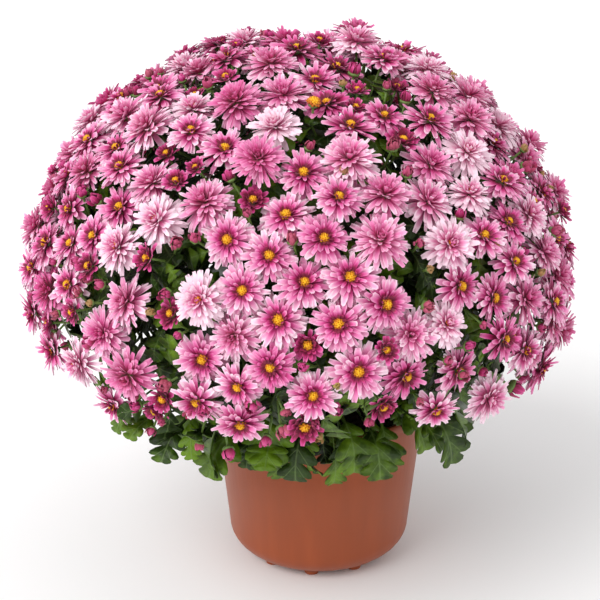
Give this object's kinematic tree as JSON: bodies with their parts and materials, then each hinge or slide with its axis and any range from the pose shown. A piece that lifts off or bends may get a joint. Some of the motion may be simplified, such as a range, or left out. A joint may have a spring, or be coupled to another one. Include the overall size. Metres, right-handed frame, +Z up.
{
  "type": "pot chrysanthemum",
  "caption": "Dome-shaped pot chrysanthemum covered in pink semi-double and double blooms with yellow eyes, on leafy stems in soil, in a plain tapered terracotta-coloured plastic pot.",
  "frame": {"origin": "on the ground, below the middle of the whole plant's box; the pot's own axis stands a little to the +X side of it", "axes": "+Z up; the front of the plant faces -Y; +X is to the right seen from the front"},
  "size_m": [0.4698, 0.4706, 0.4707],
  "materials": {
    "pot": "satin",
    "soil": "rough",
    "petals": "soft",
    "leaves": "satin"
  },
  "bodies": {
    "root": {"pot": "pot", "soil": "soil", "bloom_spray_01": "petals", "leafy_stem_01": "leaves", "bloom_spray_02": "petals", "leafy_stem_02": "leaves", "bloom_spray_03": "petals", "leafy_stem_03": "leaves", "bloom_spray_04": "petals", "leafy_stem_04": "leaves", "bloom_spray_05": "petals", "leafy_stem_05": "leaves", "bloom_spray_06": "petals", "leafy_stem_06": "leaves", "bloom_spray_07": "petals", "leafy_stem_07": "leaves", "bloom_spray_08": "petals", "leafy_stem_08": "leaves", "bloom_spray_09": "petals", "leafy_stem_09": "leaves", "bloom_spray_10": "petals", "leafy_stem_10": "leaves", "bloom_spray_11": "petals", "leafy_stem_11": "leaves", "bloom_spray_12": "petals", "leafy_stem_12": "leaves", "bloom_spray_13": "petals", "leafy_stem_13": "leaves", "bloom_spray_14": "petals", "leafy_stem_14": "leaves", "bloom_spray_15": "petals", "leafy_stem_15": "leaves", "bloom_spray_16": "petals", "leafy_stem_16": "leaves", "bloom_spray_17": "petals", "leafy_stem_17": "leaves", "bloom_spray_18": "petals", "leafy_stem_18": "leaves", "bloom_spray_19": "petals", "leafy_stem_19": "leaves", "bloom_spray_20": "petals", "leafy_stem_20": "leaves", "bloom_spray_21": "petals", "leafy_stem_21": "leaves", "bloom_spray_22": "petals", "leafy_stem_22": "leaves", "bloom_spray_23": "petals", "leafy_stem_23": "leaves", "bloom_spray_24": "petals", "leafy_stem_24": "leaves"}
  },
  "joints": []
}
